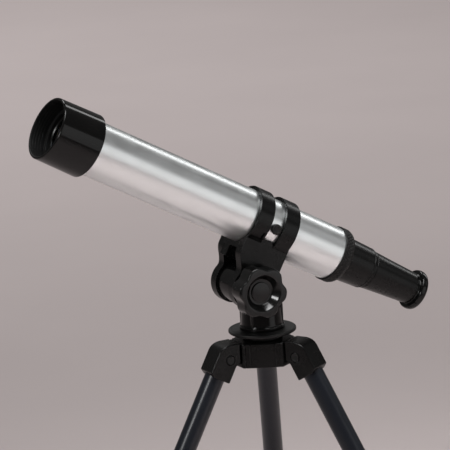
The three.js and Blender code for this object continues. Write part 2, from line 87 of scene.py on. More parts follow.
def outerRadius(node):
    low, high = reach(node, sideways, tubeOrigin)
    return (high - low) / 2


def heights(node):
    low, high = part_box(node)
    return (low.z - panTop.z) / mm, (high.z - panTop.z) / mm


# Building meshes

def newPiece(name, vertices, faces, place):
    mesh = bpy.data.meshes.new(name)
    mesh.from_pydata([Vector(point) * mm for point in vertices], [], faces)
    build = bmesh.new()
    build.from_mesh(mesh)
    bmesh.ops.remove_doubles(build, verts=build.verts, dist=1e-7)
    bmesh.ops.recalc_face_normals(build, faces=build.faces)
    build.to_mesh(mesh)
    build.free()
    piece = bpy.data.objects.new(name, mesh)
    bpy.context.scene.collection.objects.link(piece)
    piece.matrix_world = place
    return piece


# A corner with a third value is rounded by that fillet
def eased(outline, steps=5):
    points = []
    count = len(outline)
    for index, corner in enumerate(outline):
        here = Vector(corner[:2])
        fillet = corner[2] if len(corner) > 2 else 0
        before = Vector(outline[index - 1][:2]) - here
        after = Vector(outline[(index + 1) % count][:2]) - here
        if fillet <= 0 or before.length == 0 or after.length == 0:
            points.append(here)
            continue
        back = before.normalized() * min(fillet, before.length * 0.48)
        ahead = after.normalized() * min(fillet, after.length * 0.48)
        for step in range(steps + 1):
            share = step / steps
            points.append(here + back * (1 - share) ** 2 + ahead * share ** 2)
    return points


def turned(name, outline, place, sides=128, swell=None):
    points = eased(outline)
    vertices = []
    rows = []
    for point in points:
        onAxis = point.x < 1e-6
        row = []
        for side in range(1 if onAxis else sides):
            angle = 2 * math.pi * side / sides
            radius = point.x if swell is None else swell(point.x, point.y, angle)
            row.append(len(vertices))
            vertices.append((radius * math.cos(angle), radius * math.sin(angle), point.y))
        rows.append(row * sides if onAxis else row)
    closes = points[0].x > 1e-6 or points[-1].x > 1e-6
    faces = []
    for index in range(len(rows) if closes else len(rows) - 1):
        low = rows[index]
        high = rows[(index + 1) % len(rows)]
        for side in range(sides):
            beside = (side + 1) % sides
            corners = list(dict.fromkeys((low[side], low[beside], high[beside], high[side])))
            if len(corners) > 2:
                faces.append(corners)
    return newPiece(name, vertices, faces, place)


# An outline in x and y, filled and stretched from low to high along z
def prism(name, outline, low, high, place):
    count = len(outline)
    vertices = [(x, y, height) for height in (low, high) for x, y in outline]
    faces = [list(range(count)), list(range(count, 2 * count))]
    for index in range(count):
        beside = (index + 1) % count
        faces.append((index, beside, beside + count, index + count))
    return newPiece(name, vertices, faces, place)


def rod(name, radius, low, high, place, sides):
    return turned(name, [(0, low), (radius, low), (radius, high), (0, high)], place, sides)


def boxPiece(name, low, high, place):
    outline = [(low[0], low[1]), (high[0], low[1]), (high[0], high[1]), (low[0], high[1])]
    return prism(name, outline, low[2], high[2], place)


def arcPoints(centre, radius, start, end, steps=16):
    span = [math.radians(start + (end - start) * step / steps) for step in range(steps + 1)]
    return [(centre[0] + radius * math.cos(angle), centre[1] + radius * math.sin(angle)) for angle in span]


def curvePoints(start, first, second, end, steps=12):
    points = []
    for step in range(1, steps + 1):
        share = step / steps
        rest = 1 - share
        weights = (rest ** 3, 3 * rest ** 2 * share, 3 * rest * share ** 2, share ** 3)
        corners = (start, first, second, end)
        points.append(tuple(sum(weight * corner[axis] for weight, corner in zip(weights, corners))
                            for axis in (0, 1)))
    return points


def settled(piece):
    bpy.context.view_layer.update()
    made = bpy.data.meshes.new_from_object(piece.evaluated_get(bpy.context.evaluated_depsgraph_get()))
    piece.modifiers.clear()
    piece.data = made
    return piece


def carved(piece, *tools, joins=()):
    for tool, work in [(tool, "DIFFERENCE") for tool in tools] + [(tool, "UNION") for tool in joins]:
        step = piece.modifiers.new("cut", "BOOLEAN")
        step.operation = work
        step.solver = "EXACT"
        step.object = tool
        settled(piece)
        bpy.data.objects.remove(tool)
    return piece


def edged(piece, width, steps=3, angle=32):
    bevel = piece.modifiers.new("edge", "BEVEL")
    bevel.width = width * mm
    bevel.segments = steps
    bevel.limit_method = "ANGLE"
    bevel.angle_limit = math.radians(angle)
    bevel.use_clamp_overlap = True
    bevel.harden_normals = False
    return settled(piece)


def finished(piece, body, look, *nodes):
    piece.data.polygons.foreach_set("use_smooth", [True] * len(piece.data.polygons))
    piece.data.set_sharp_from_angle(angle=math.radians(38))
    piece.data.materials.clear()
    piece.data.materials.append(looks[look])
    even = piece.modifiers.new("even", "WEIGHTED_NORMAL")
    even.keep_sharp = True
    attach(piece, body)
    if nodes:
        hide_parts(*nodes)


def lathed(name, outline, place, sides, body, look, *nodes, swell=None):
    finished(turned(name, outline, place, sides, swell), body, look, *nodes)


# The outline of a ring or tube with eased edges
def sleeve(outer, inner, low, high, outerEdge, innerEdge):
    return [(outer, low, outerEdge), (outer, high, outerEdge),
            (inner, high, innerEdge), (inner, low, innerEdge)]


# Materials

socketNames = {
    "metal": "Metallic", "roughness": "Roughness", "ior": "IOR",
    "coat": "Coat Weight", "coatRoughness": "Coat Roughness", "through": "Transmission Weight",
    "filmThickness": "Thin Film Thickness", "filmIor": "Thin Film IOR",
}


def startLook(name, **values):
    look = bpy.data.materials.new(name)
    look.use_nodes = True
    tree = look.node_tree
    surface = tree.nodes["Principled BSDF"]
    for socket, value in values.items():
        surface.inputs[socketNames[socket]].default_value = value
    return look, tree


def shaded(look, colour, rough, normal):
    surface = look.node_tree.nodes["Principled BSDF"]
    for socket, source in (("Base Color", colour), ("Roughness", rough), ("Normal", normal)):
        if source is not None:
            look.node_tree.links.new(source, surface.inputs[socket])
    return look


def addNode(tree, kind, settings=None, **inputs):
    node = tree.nodes.new(kind)
    for setting, value in (settings or {}).items():
        setattr(node, setting, value)
    for socket, value in inputs.items():
        target = node.inputs[socket.replace("_", " ")]
        if isinstance(value, bpy.types.NodeSocket):
            tree.links.new(value, target)
        else:
            target.default_value = value
    return node


# Noise whose patches are about size mm across
def grain(tree, size, stretch=(1, 1, 1), detail=3.0, shift=0.0):
    place = addNode(tree, "ShaderNodeTexCoord").outputs["Object"]
    scale = tuple(part / (size * mm) for part in stretch)
    mapped = addNode(tree, "ShaderNodeMapping", Vector=place, Scale=scale, Location=(shift, shift, shift))
    noise = addNode(tree, "ShaderNodeTexNoise", Vector=mapped.outputs[0], Scale=1.0, Detail=detail,
                    Roughness=0.55)
    return noise.outputs["Fac"]


def ranged(tree, source, low, high, fromLow=0.3, fromHigh=0.7):
    spread = addNode(tree, "ShaderNodeMapRange", {"clamp": True}, Value=source)
    spread.inputs["From Min"].default_value = fromLow
    spread.inputs["From Max"].default_value = fromHigh
    spread.inputs["To Min"].default_value = low
    spread.inputs["To Max"].default_value = high
    return spread.outputs[0]


def joinedValues(tree, first, second, work):
    result = tree.nodes.new("ShaderNodeMath")
    result.operation = work
    for socket, value in zip(result.inputs, (first, second)):
        if isinstance(value, bpy.types.NodeSocket):
            tree.links.new(value, socket)
        else:
            socket.default_value = value
    return result.outputs[0]


def tinted(tree, share, base, other):
    mix = tree.nodes.new("ShaderNodeMix")
    mix.data_type = "RGBA"
    tree.links.new(share, mix.inputs["Factor"])
    for socket, value in (("A", base), ("B", other)):
        target = [item for item in mix.inputs if item.name == socket and item.type == "RGBA"][0]
        if isinstance(value, bpy.types.NodeSocket):
            tree.links.new(value, target)
        else:
            target.default_value = value
    return [item for item in mix.outputs if item.type == "RGBA"][0]


def raisedBy(tree, height, depth, strength=1.0, under=None):
    bump = addNode(tree, "ShaderNodeBump", Height=height, Distance=depth * mm, Strength=strength)
    if under is not None:
        tree.links.new(under, bump.inputs["Normal"])
    return bump.outputs[0]


def wornEdges(tree, start=0.52, end=0.60, patch=4.0):
    edge = addNode(tree, "ShaderNodeNewGeometry").outputs["Pointiness"]
    mask = ranged(tree, edge, 0, 1, start, end)
    return joinedValues(tree, mask, ranged(tree, grain(tree, patch), 0.15, 1.0, 0.4, 0.62), "MULTIPLY")


def scratches(tree, size=0.35, stretch=(1, 1, 0.03), amount=0.5):
    fine = grain(tree, size, stretch, detail=2.0)
    gate = ranged(tree, grain(tree, 9.0, shift=3.0), 0, 1, 0.48, 0.66)
    return joinedValues(tree, ranged(tree, fine, 0, amount, 0.62, 0.72), gate, "MULTIPLY")


def grey(value, warm=0.0):
    return (value * (1 + warm), value, value * (1 - warm), 1.0)


plasticLooks = {
    "glossBlack": {"colour": 0.0025, "roughness": 0.09, "spread": 0.04, "texture": 0.9, "depth": 0.001,
                   "wear": 0.03, "ior": 1.31},
    "satinBlack": {"colour": 0.0020, "roughness": 0.25, "spread": 0.03, "texture": 0.32, "depth": 0.0015,
                   "wear": 0.03, "ior": 1.28},
    "knobBlack": {"colour": 0.0025, "roughness": 0.14, "spread": 0.05, "texture": 0.5, "depth": 0.0015,
                  "wear": 0.04, "ior": 1.38},
    "mattBlack": {"colour": 0.0045, "roughness": 0.42, "spread": 0.09, "texture": 0.24, "depth": 0.010,
                  "wear": 0.03, "ior": 1.35},
}


# Distance from the piece's own axis, mm
def distanceFromAxis(tree):
    place = addNode(tree, "ShaderNodeTexCoord").outputs["Object"]
    flat = addNode(tree, "ShaderNodeVectorMath", {"operation": "MULTIPLY"})
    tree.links.new(place, flat.inputs[0])
    flat.inputs[1].default_value = (1 / mm, 1 / mm, 0)
    length = addNode(tree, "ShaderNodeVectorMath", {"operation": "LENGTH"})
    tree.links.new(flat.outputs[0], length.inputs[0])
    return length.outputs["Value"]


mouldChoice = {"cloud": 14.0, "smudge": 6.0, "scratchDepth": 0.004, "insideRoughness": 0.42,
               "hoodInside": 20.6}


# Within matInside mm of its own axis the moulding is matt
def mouldedPlastic(name, kind=None, matInside=0.0):
    choice = plasticLooks[kind or name]
    look, tree = startLook(name, ior=choice["ior"])
    patches = ranged(tree, grain(tree, mouldChoice["cloud"], detail=4.0), 0, 1)
    base = tinted(tree, patches, grey(choice["colour"]), grey(choice["colour"] * 1.35, 0.03))
    worn = tinted(tree, joinedValues(tree, wornEdges(tree), choice["wear"] * 6, "MULTIPLY"), base,
                  grey(choice["wear"] + choice["colour"]))
    smudges = ranged(tree, grain(tree, mouldChoice["smudge"], detail=5.0, shift=7.0), 0, choice["spread"])
    rubbed = joinedValues(tree, smudges, scratches(tree, amount=choice["spread"]), "ADD")
    rough = joinedValues(tree, rubbed, choice["roughness"], "ADD")
    if matInside:
        axisDistance = distanceFromAxis(tree)
        inside = ranged(tree, axisDistance, mouldChoice["insideRoughness"], 0, matInside, matInside + 0.5)
        rough = joinedValues(tree, rough, inside, "ADD")
    skin = raisedBy(tree, grain(tree, choice["texture"], detail=2.0), choice["depth"])
    marked = raisedBy(tree, scratches(tree), mouldChoice["scratchDepth"], 0.5, skin)
    return shaded(look, worn, rough, marked)


silverChoice = {"colour": (0.728, 0.75, 0.752, 1), "shade": (0.688, 0.71, 0.712, 1), "roughness": 0.27,
                "fineLine": 0.10, "broadLine": 0.7, "drawn": (1, 1, 0.004), "cloud": 18.0, "smudge": 11.0,
                "smudging": 0.07, "scratching": 0.2}


def brushedSilver():
    look, tree = startLook("brushedSilver", metal=1.0)
    choice = silverChoice
    lines = grain(tree, choice["fineLine"], choice["drawn"])       # drawn lengthwise
    broad = grain(tree, choice["broadLine"], choice["drawn"], detail=2.0, shift=5.0)
    cloud = ranged(tree, grain(tree, choice["cloud"], detail=4.0), 0, 1)
    shade = joinedValues(tree, ranged(tree, lines, 0, 0.35), ranged(tree, cloud, 0, 0.4, 0, 1), "ADD")
    colour = tinted(tree, shade, choice["colour"], choice["shade"])
    smudge = ranged(tree, grain(tree, choice["smudge"], detail=5.0, shift=2.0), 0, choice["smudging"])
    rubbed = joinedValues(tree, smudge, ranged(tree, broad, 0, 0.06), "ADD")
    scratched = joinedValues(tree, scratches(tree), choice["scratching"], "MULTIPLY")
    rough = joinedValues(tree, joinedValues(tree, rubbed, scratched, "ADD"), choice["roughness"], "ADD")
    drawn = raisedBy(tree, lines, 0.0005, 0.5)
    return shaded(look, colour, rough, raisedBy(tree, broad, 0.0006, 0.3, drawn))


enamelChoice = {"colour": (0.0060, 0.0072, 0.0105, 1), "light": (0.009, 0.0105, 0.0145, 1), "bare": 0.12,
                "roughness": 0.28, "cloud": 20.0, "smudge": 8.0, "ripple": 2.2, "rippleDepth": 0.006,
                "texture": 0.2, "textureDepth": 0.001}


def legEnamel():
    look, tree = startLook("legEnamel", metal=0.05, ior=1.3, coat=0.18, coatRoughness=0.24)
    choice = enamelChoice
    cloud = ranged(tree, grain(tree, choice["cloud"], (1, 1, 0.4), detail=4.0), 0, 1)
    base = tinted(tree, cloud, choice["colour"], choice["light"])
    worn = tinted(tree, joinedValues(tree, wornEdges(tree), 0.5, "MULTIPLY"), base, grey(choice["bare"]))
    smudge = ranged(tree, grain(tree, choice["smudge"], (1, 1, 0.5), detail=5.0), 0, 0.08)
    rubbed = joinedValues(tree, smudge, scratches(tree, amount=0.12), "ADD")
    rough = joinedValues(tree, rubbed, choice["roughness"], "ADD")
    wave = grain(tree, choice["ripple"], (1, 1, 0.3), detail=2.0)
    ripple = raisedBy(tree, wave, choice["rippleDepth"], 0.6)
    fine = grain(tree, choice["texture"], (1, 1, 0.05))
    return shaded(look, worn, rough, raisedBy(tree, fine, choice["textureDepth"], 0.5, ripple))


glassChoice = {"colour": (0.72, 0.80, 0.95, 1), "dust": (0.9, 0.9, 0.9, 1), "dustSize": 0.5, "smear": 5.0,
               "smearing": (0.005, 0.03), "figure": 9.0}


def coatedGlass():
    look, tree = startLook("coatedGlass", through=1.0, ior=1.52, coat=1.0, coatRoughness=0.01,
                                    filmThickness=420.0, filmIor=1.38)
    choice = glassChoice
    dust = ranged(tree, grain(tree, choice["dustSize"], detail=4.0), 0, 1, 0.60, 0.75)
    colour = tinted(tree, dust, choice["colour"], choice["dust"])
    smear = ranged(tree, grain(tree, choice["smear"], detail=4.0, shift=4.0), *choice["smearing"])
    rough = joinedValues(tree, smear, joinedValues(tree, dust, 0.2, "MULTIPLY"), "ADD")
    figure = raisedBy(tree, grain(tree, choice["figure"], detail=1.0), 0.001, 0.3)
    return shaded(look, colour, rough, figure)


steelChoice = {"colour": (0.50, 0.50, 0.49, 1), "shade": (0.36, 0.36, 0.36, 1),
               "bright": (0.70, 0.69, 0.66, 1), "cloud": 3.0, "patch": 1.2, "roughness": (0.22, 0.42),
               "texture": 0.12}


def platedSteel():
    look, tree = startLook("platedSteel", metal=1.0)
    choice = steelChoice
    cloud = ranged(tree, grain(tree, choice["cloud"], detail=5.0), 0, 1)
    base = tinted(tree, cloud, choice["colour"], choice["shade"])
    worn = tinted(tree, wornEdges(tree), base, choice["bright"])
    patches = grain(tree, choice["patch"], detail=5.0, shift=2.0)
    skin = raisedBy(tree, grain(tree, choice["texture"], detail=2.0), 0.003, 0.6)
    return shaded(look, worn, ranged(tree, patches, *choice["roughness"]), skin)


rubberChoice = {"dark": 0.014, "light": 0.028, "worn": 0.07, "cloud": 5.0, "patch": 2.0,
                "roughness": (0.62, 0.85), "texture": 0.35}


def footRubber():
    look, tree = startLook("footRubber", ior=1.45)
    choice = rubberChoice
    cloud = ranged(tree, grain(tree, choice["cloud"], detail=5.0), 0, 1)
    base = tinted(tree, cloud, grey(choice["dark"]), grey(choice["light"], 0.03))
    worn = tinted(tree, wornEdges(tree, 0.51, 0.58), base, grey(choice["worn"], 0.06))
    patches = grain(tree, choice["patch"], detail=4.0)
    skin = raisedBy(tree, grain(tree, choice["texture"], detail=4.0), 0.03, 0.7)
    return shaded(look, worn, ranged(tree, patches, *choice["roughness"]), skin)


looks = {name: mouldedPlastic(name) for name in plasticLooks}
looks["hood"] = mouldedPlastic("hoodGloss", "glossBlack", mouldChoice["hoodInside"])
looks["silver"] = brushedSilver()
looks["enamel"] = legEnamel()
looks["glass"] = coatedGlass()
looks["steel"] = platedSteel()
looks["rubber"] = footRubber()
print("stage: materials made")


# Optical tube

def alongTube(name, outline, body, look, *nodes, sides=128, swell=None):
    lathed(name, outline, tubePlace, sides, body, look, *nodes, swell=swell)


tubeChoice = {"wall": 1.2, "edge": 0.3, "innerEdge": 0.2}


def buildMainTube():
    choice = tubeChoice
    rear, front = stations("main_tube")
    inner = tubeRadius - choice["wall"]
    outline = sleeve(tubeRadius, inner, rear, front, choice["edge"], choice["innerEdge"])
    alongTube("silverTube", outline, "tube", "silver", "main_tube", sides=192)


hoodChoice = {"frontRadius": 22.0, "wall": 1.7, "recess": 11.5, "seatWall": 2.4, "lip": 2.0,
              "lipRadius": 15.4, "grooves": 4, "grooveDepth": 0.08, "grooveStart": 2.2, "land": 0.65,
              "slope": 0.25, "rim": 1.1}


def buildHood():
    choice = hoodChoice
    rear, front = stations("objective_hood")
    rearRadius = outerRadius("objective_hood")
    bore = choice["frontRadius"] - choice["wall"]
    seat = bore - choice["seatWall"]
    shoulder = front - choice["recess"]
    tubeFront = stations("main_tube")[1] + clear
    outline = [
        (tubeRadius + clear, rear, 0.3),
        (rearRadius, rear, 1.0),
        (choice["frontRadius"], front, choice["rim"]),
        (bore, front, 0.6),
    ]
    pitch = (choice["recess"] - 3.0) / choice["grooves"]
    for groove in range(choice["grooves"]):
        start = front - choice["grooveStart"] - groove * pitch
        end = start - pitch + choice["land"]
        outline += [(bore, start, 0.12), (bore - choice["grooveDepth"], start - choice["slope"], 0.12),
                    (bore - choice["grooveDepth"], end + choice["slope"], 0.12), (bore, end, 0.12)]
    outline += [
        (bore, shoulder, 0.2),
        (seat, shoulder, 0.3),
        (seat, tubeFront + choice["lip"]),
        (choice["lipRadius"], tubeFront + choice["lip"], 0.3),
        (choice["lipRadius"], tubeFront),
        (tubeRadius + clear, tubeFront),
    ]
    alongTube("lensHood", outline, "tube", "hood", "objective_hood", sides=192)


def lensOutline(rear, front, radius, crown, rings=14):
    shares = [step / rings for step in range(rings + 1)]
    backFace = [(radius * share, rear + crown * share ** 2) for share in shares]
    frontFace = [(radius * share, front - crown * share ** 2) for share in reversed(shares)]
    return backFace + frontFace


lensChoice = {
    "objective_lens": {"name": "objectiveLens", "body": "tube", "crown": 1.6},
    "field_lens": {"name": "fieldLens", "body": "eyepiece", "crown": 1.1},
    "eye_lens": {"name": "eyeLens", "body": "eyepiece", "crown": 0.9},
}


def buildLenses():
    for node, choice in lensChoice.items():
        rear, front = stations(node)
        outline = lensOutline(rear, front, outerRadius(node), choice["crown"])
        alongTube(choice["name"], outline, choice["body"], "glass", node)


lensRingChoice = {"chamfer": 0.9, "chamferDepth": 0.8, "notchHalf": 1.4, "notchWidth": 1.6, "notchDepth": 0.6}


def buildLensRing():
    choice = lensRingChoice
    rear, front = stations("lens_retaining_ring")
    outer = outerRadius("lens_retaining_ring")
    inner = hoodChoice["lipRadius"]
    outline = [(outer, rear, 0.15), (outer, front, 0.3), (inner + choice["chamfer"], front, 0.2),
               (inner, front - choice["chamferDepth"], 0.2), (inner, rear, 0.15)]
    ring = turned("lensRing", outline, tubePlace, 160)
    for side in (-1, 1):
        low = (side * outer - choice["notchHalf"], -choice["notchWidth"] / 2, front - choice["notchDepth"])
        high = (side * outer + choice["notchHalf"], choice["notchWidth"] / 2, front + 1)
        carved(ring, boxPiece("notch", low, high, tubePlace))
    finished(ring, "tube", "satinBlack", "lens_retaining_ring")


collarChoice = {"length": 9.0, "band": 6.0, "bandEdge": 0.3, "step": 0.2, "rows": 26, "knurlDepth": 0.5,
                "starts": 44, "lean": 1.9, "shoulder": 0.9, "shoulderLength": 1.1, "chamfer": 3.0,
                "sleeve": 12.0, "sleeveWall": 1.4}


def buildCollar():
    choice = collarChoice
    rear, front = stations("tube_end_collar")
    tubeRear = stations("main_tube")[0]
    radius = outerRadius("tube_end_collar")
    bandFront = rear + choice["length"]
    bandRear = bandFront - choice["band"]
    barrel = outerRadius("focus_barrel")
    inner = barrel + clear
    plug = inner + choice["sleeveWall"]
    edge = choice["bandEdge"]
    step = choice["step"]

    def knurl(r, z, angle):
        if r < radius - 0.05 or not bandRear + edge < z < bandFront - edge:
            return r
        lean = choice["lean"] * z
        one = abs(math.sin((choice["starts"] * angle + lean) / 2))
        two = abs(math.sin((choice["starts"] * angle - lean) / 2))
        return r - choice["knurlDepth"] * (1 - min(one, two)) ** 2

    pitch = (choice["band"] - 2 * edge) / choice["rows"]
    band = [(radius, bandFront - edge - pitch * row) for row in range(choice["rows"] + 1)]
    outline = [(tubeRadius + clear, bandFront, 0.2), (radius - step, bandFront, 0.2)] + band + [
        (radius - step, bandRear, 0.2),
        (radius - choice["shoulder"], rear + choice["shoulderLength"], 0.8),
        (radius - choice["chamfer"], rear, 0.6),
        (inner, rear, 0.3),
        (inner, tubeRear + choice["sleeve"]),
        (plug, tubeRear + choice["sleeve"]),
        (plug, tubeRear - clear),
        (tubeRadius + clear, tubeRear - clear),
    ]
    alongTube("endCollar", outline, "tube", "mattBlack", "tube_end_collar", sides=432, swell=knurl)


barrelChoice = {"wall": 1.4, "endRadius": 14.9, "spigotRadius": 12.6, "spigot": 7.0, "floor": 6.0,
                "startRadius": 13.9, "waist": 16.0, "waistRadius": 12.9, "finishRadius": 11.6, "bore": 9.4,
                "line": 0.25}


def buildBarrels():
    choice = barrelChoice
    rear, front = stations("focus_barrel")
    radius = outerRadius("focus_barrel")
    collarRear = stations("tube_end_collar")[0]
    fold = rear + choice["spigot"] + clear
    outline = [
        (radius, front, 0.3),
        (radius, collarRear, 2.0),
        (choice["endRadius"] + 0.05, rear + 1.7, 0.1),
        (choice["endRadius"] - choice["line"], rear + 1.5, 0.1),
        (choice["endRadius"] - choice["line"], rear + 1.2, 0.1),
        (choice["endRadius"], rear + 1.0, 0.1),
        (choice["endRadius"], rear, 0.6),
        (choice["spigotRadius"] + clear, rear, 0.2),
        (choice["spigotRadius"] + clear, fold),
        (radius - choice["wall"], fold + choice["floor"]),
        (radius - choice["wall"], front, 0.3),
    ]
    alongTube("focusBarrel", outline, "eyepiece", "satinBlack", "focus_barrel", sides=160)
    seat = rear - clear
    end = stations("eyepiece_barrel")[0]
    outline = [
        (choice["spigotRadius"], rear + choice["spigot"], 0.3),
        (choice["spigotRadius"], seat, 0.1),
        (choice["startRadius"] - 0.1, seat, 0.3),
        (choice["startRadius"], seat - 1.6, 0.1),
        (choice["startRadius"] - choice["line"], seat - 1.8, 0.1),
        (choice["startRadius"] - choice["line"], seat - 2.1, 0.1),
        (choice["startRadius"] - 0.05, seat - 2.3, 0.1),
        (choice["waistRadius"], seat - choice["waist"], 3.0),
        (choice["finishRadius"], end, 0.3),
        (choice["bore"], end, 0.2),
        (choice["bore"], rear + choice["spigot"], 0.3),
    ]
    alongTube("eyepieceBarrel", outline, "eyepiece", "satinBlack", "eyepiece_barrel", sides=160)


flangeChoice = {"neck": 2.2, "neckRadius": 11.0, "bowl": 3.0, "bowlRadius": 10.4, "bowlStep": 2.8,
                "undercut": 2.4, "shoulder": 0.6, "rollHalf": 0.9, "edge": 0.8}


def buildFlange():
    choice = flangeChoice
    rear, front = stations("eye_flange")
    radius = outerRadius("eye_flange")
    rimFront = front - choice["neck"]
    middle = (rimFront + rear) / 2
    bore = choice["bowlRadius"] - choice["bowlStep"]
    outline = [
        (choice["neckRadius"], front, 0.2),
        (choice["neckRadius"], rimFront, 0.9),
        (radius - choice["undercut"], rimFront - 0.2, 0.8),
        (radius - choice["shoulder"], rimFront - 0.1, 0.8),
        (radius, middle + choice["rollHalf"], 1.2),
        (radius, middle - choice["rollHalf"], 1.2),
        (radius - choice["edge"], rear, 1.2),
        (choice["bowlRadius"], rear, 1.0),
        (bore, rear + choice["bowl"], 0.8),
        (bore, front, 0.2),
    ]
    alongTube("eyeFlange", outline, "eyepiece", "glossBlack", "eye_flange", sides=160)


innerRingChoice = {
    "light_baffle": {"name": "lightBaffle", "body": "tube", "aperture": 12.5},
    "field_stop": {"name": "fieldStop", "body": "eyepiece", "aperture": 5.5},
}


def buildInnerRings():
    for node, choice in innerRingChoice.items():
        rear, front = stations(node)
        aperture = choice["aperture"]
        outer = outerRadius(node)
        outline = [(outer, rear, 0.1), (outer, front, 0.1), (aperture + 0.5, front, 0.1),
                   (aperture, rear + 0.4, 0.1), (aperture, rear, 0.1)]
        alongTube(choice["name"], outline, choice["body"], "mattBlack", node, sides=96)


# Saddle: x points up towards the tube and z runs forward, from the tilt axis

saddleChoice = {"wall": 2.4, "ringWidth": 11.8, "ringGap": 10.0, "ringCentre": 3.0, "slot": 19.0,
                "lobe": 15.0, "lobeStart": 22.0, "front": 20.0, "shoulder": 21.0, "waistPull": 5.0,
                "web": 3.2, "ribWidth": 8.0, "ribRear": 1.0, "ribBottom": 14.0, "ledge": 0.5, "edge": 1.1,
                "recessDepth": 1.3, "recessHeight": 6.0, "recessInset": 1.6, "recessTurn": 24.0}
boltChoice = {"shank": 2.9, "head": 6.4, "crown": 1.8, "socket": 2.6, "socketDepth": 2.0}


def buildSaddle():
    choice = saddleChoice
    bore = tubeRadius + clear
    half = reach("bolt_washer", sideways, tiltPivot)[0] - clear
    top = toTube - math.sqrt(bore ** 2 - (half - choice["ledge"]) ** 2)
    lobe = choice["lobe"]
    front = choice["front"]
    shoulder = choice["shoulder"]
    start = math.radians(choice["lobeStart"])
    lobeTop = (lobe * math.cos(start), lobe * math.sin(start))
    pull = choice["waistPull"]
    waist = (lobeTop[0] - pull * math.sin(start), lobeTop[1] + pull * math.cos(start))
    outline = [(-lobe, top), (front, top), (front, shoulder)]
    outline += curvePoints((front, shoulder), (front, shoulder - pull), waist, lobeTop)
    outline += arcPoints((0, 0), lobe, choice["lobeStart"], -180, 32)[1:]
    standing = saddlePlace @ Matrix(((0, 1, 0, 0), (0, 0, 1, 0), (1, 0, 0, 0), (0, 0, 0, 1)))
    block = prism("saddleBlock", outline, -half, half, standing)
    slotTop = toTube - bore - choice["web"]
    reachOut = 2 * front
    slotHalf = choice["slot"] / 2
    slot = boxPiece("slot", (-reachOut, -slotHalf, -reachOut), (slotTop, slotHalf, reachOut), saddlePlace)
    carved(block, slot)
    ribPiece = boxPiece("rib", (choice["ribBottom"], slotHalf - choice["ribWidth"], choice["ribRear"]),
                        (slotTop + 0.5, slotHalf + 0.5, front - 0.4), saddlePlace)
    carved(block, joins=(ribPiece,))
    edged(block, choice["edge"])
    boltHole = rod("hole", boltChoice["shank"] + clear, -60, 60, placement(tiltPivot, forward, sideways), 64)
    tunnel = rod("tunnel", bore, -60, 60, tubePlace, 160)
    carved(block, tunnel, boltHole)
    finished(block, "tube", "satinBlack", "saddle")
    middle = (choice["ringGap"] + choice["ringWidth"]) / 2
    outer = bore + choice["wall"]
    recessWidth = choice["ringWidth"] - 2 * choice["recessInset"]
    for name, side in (("ringFront", 1), ("ringRear", -1)):
        centre = choice["ringCentre"] + side * middle
        near = centre - choice["ringWidth"] / 2
        far = centre + choice["ringWidth"] / 2
        ring = turned(name, sleeve(outer, bore, near, far, 0.4, 0.2), tubePlace, 192)
        if name == "ringFront":
            for face in (-1, 1):
                turn = Matrix.Rotation(math.radians(face * choice["recessTurn"]), 4, "Z")
                depth = outer - choice["recessDepth"]
                corners = sorted((face * depth, face * (depth + 6)))
                low = (-choice["recessHeight"] / 2, corners[0], centre - recessWidth / 2)
                high = (choice["recessHeight"] / 2, corners[1], centre + recessWidth / 2)
                carved(ring, boxPiece("recess", low, high, tubePlace @ turn))
        finished(ring, "tube", "satinBlack")


buttonChoice = {"station": 2.4, "angle": 92.0, "radius": 3.8, "height": 2.2}


def buildStopButton():
    choice = buttonChoice
    low = tubeRadius + clear
    high = low + choice["height"]
    radius = choice["radius"]
    outline = [(0, low), (radius - 0.3, low, 0.2), (radius, low + 0.4, 0.2), (radius, high - 0.2, 0.9),
               (radius * 0.55, high, 0.4), (radius * 0.45, high - 0.35, 0.3), (0, high - 0.35)]
    turn = Matrix.Rotation(-math.radians(choice["angle"]), 4, "Z")
    lean = Matrix.Rotation(math.pi / 2, 4, "Y")
    place = tubePlace @ Matrix.Translation((0, 0, choice["station"] * mm)) @ turn @ lean
    lathed("stopButton", outline, place, 72, "tube", "mattBlack", "tube_stop_button")


def buildBolt():
    choice = boltChoice
    low, high = reach("pivot_bolt", sideways, tiltPivot)
    seat = reach("bolt_washer", sideways, tiltPivot)[1] + clear
    place = placement(tiltPivot, raised, sideways)
    shank = choice["shank"]
    head = choice["head"]
    outline = [(0, low), (shank, low, 0.4), (shank, seat, 0.1), (head, seat, 0.5),
               (head, high - choice["crown"], 1.2), (head * 0.55, high, 1.2), (0, high)]
    bolt = turned("pivotBolt", outline, place, 96)
    hexagon = arcPoints((0, 0), choice["socket"], 0, 300, 5)
    carved(bolt, prism("socket", hexagon, high - choice["socketDepth"], high + 1, place))
    finished(bolt, "tube", "steel", "pivot_bolt")
    near, far = reach("bolt_washer", sideways, tiltPivot)
    outer = reach("bolt_washer", Vector((0, 0, 1)), tiltPivot)[1]
    outline = sleeve(outer, shank + clear, near, far, 0.25, 0.15)
    lathed("boltWasher", outline, place, 96, "tube", "steel", "bolt_washer")


knobChoice = {"lobes": 6, "valley": 2.6, "sharp": 1.6, "hub": 9.2, "hubLength": 4.0, "dish": 12.6,
              "floor": 9.0, "dishDepth": 5.2, "rim": 1.2, "boltDepth": 3.0, "radius": 18.4, "step": 0.4,
              "turn": 12.0}


